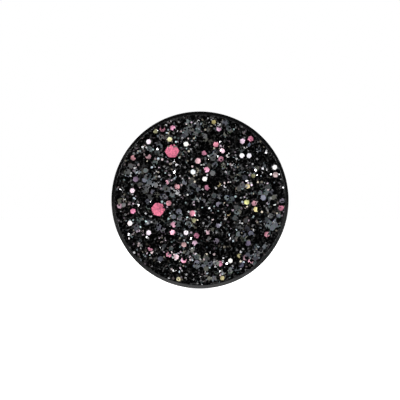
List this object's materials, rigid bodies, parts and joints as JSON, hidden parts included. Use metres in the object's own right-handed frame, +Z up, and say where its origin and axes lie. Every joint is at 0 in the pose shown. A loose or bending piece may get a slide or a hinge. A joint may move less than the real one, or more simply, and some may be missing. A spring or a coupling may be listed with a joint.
{
  "type": "enamel pin",
  "caption": "Round pin whose black face is filled with coarse hexagonal glitter, held by two posts with butterfly clutches.",
  "frame": {"origin": "centre of the tray's flat back face", "axes": "-Y the way the glitter face looks, +Y along the posts away from the back, +Z up as worn, +X to the right as the face is seen"},
  "size_m": [0.038, 0.0099, 0.038],
  "materials": {
    "black_dyed_metal": "matte black dyed zinc alloy",
    "black_enamel": "smooth black resin enamel",
    "black_glitter": "fine black glitter in clear resin",
    "pink_film": "pink metallised film",
    "silver_film": "pearl white metallised film",
    "gold_film": "cream and pale gold metallised film",
    "violet_film": "dark violet iridescent film",
    "smoke_film": "translucent smoke-grey film",
    "post_steel": "bright nickel-plated steel",
    "solder": "dull tin solder",
    "clutch_brass": "polished stamped brass",
    "wing_brass": "spring brass, lightly worn"
  },
  "bodies": {
    "pin_face": {"struck_tray": "black_dyed_metal", "enamel_floor": "black_enamel", "black_glitter_bed": "black_glitter", "large_pink_flakes": "pink_film", "pink_flakes": "pink_film", "silver_flakes": "silver_film", "gold_flakes": "gold_film", "violet_flakes": "violet_film", "grey_flakes": "smoke_film", "left_post": "post_steel", "left_solder": "solder", "right_post": "post_steel", "right_solder": "solder"},
    "left_clutch": {"left_clutch_base": "clutch_brass", "left_clutch_cap": "clutch_brass"},
    "left_outer_wing": {"left_outer_wing": "wing_brass"},
    "left_inner_wing": {"left_inner_wing": "wing_brass"},
    "right_clutch": {"right_clutch_base": "clutch_brass", "right_clutch_cap": "clutch_brass"},
    "right_outer_wing": {"right_outer_wing": "wing_brass"},
    "right_inner_wing": {"right_inner_wing": "wing_brass"}
  },
  "joints": [
    {"name": "left_clutch_pull", "type": "slide", "parent": "pin_face", "child": "left_clutch", "axis": [0, 1, 0], "range_m": [-0.002, 0.01]},
    {"name": "left_outer_wing_pinch", "type": "hinge", "parent": "left_clutch", "child": "left_outer_wing", "pos_m": [-0.01325, 0.0055, 0], "axis": [0, 0, -1], "range_deg": [0, 14], "stiffness_Nm_per_rad": 0.0005},
    {"name": "left_inner_wing_pinch", "type": "hinge", "parent": "left_clutch", "child": "left_inner_wing", "pos_m": [-0.00675, 0.0055, 0], "axis": [0, 0, 1], "range_deg": [0, 14], "stiffness_Nm_per_rad": 0.0005},
    {"name": "right_clutch_pull", "type": "slide", "parent": "pin_face", "child": "right_clutch", "axis": [0, 1, 0], "range_m": [-0.002, 0.01]},
    {"name": "right_outer_wing_pinch", "type": "hinge", "parent": "right_clutch", "child": "right_outer_wing", "pos_m": [0.01325, 0.0055, 0], "axis": [0, 0, 1], "range_deg": [0, 14], "stiffness_Nm_per_rad": 0.0005},
    {"name": "right_inner_wing_pinch", "type": "hinge", "parent": "right_clutch", "child": "right_inner_wing", "pos_m": [0.00675, 0.0055, 0], "axis": [0, 0, -1], "range_deg": [0, 14], "stiffness_Nm_per_rad": 0.0005}
  ],
  "couplings": [
    {"joint": "left_inner_wing_pinch", "follows": "left_outer_wing_pinch", "ratio": 1},
    {"joint": "right_inner_wing_pinch", "follows": "right_outer_wing_pinch", "ratio": 1}
  ]
}
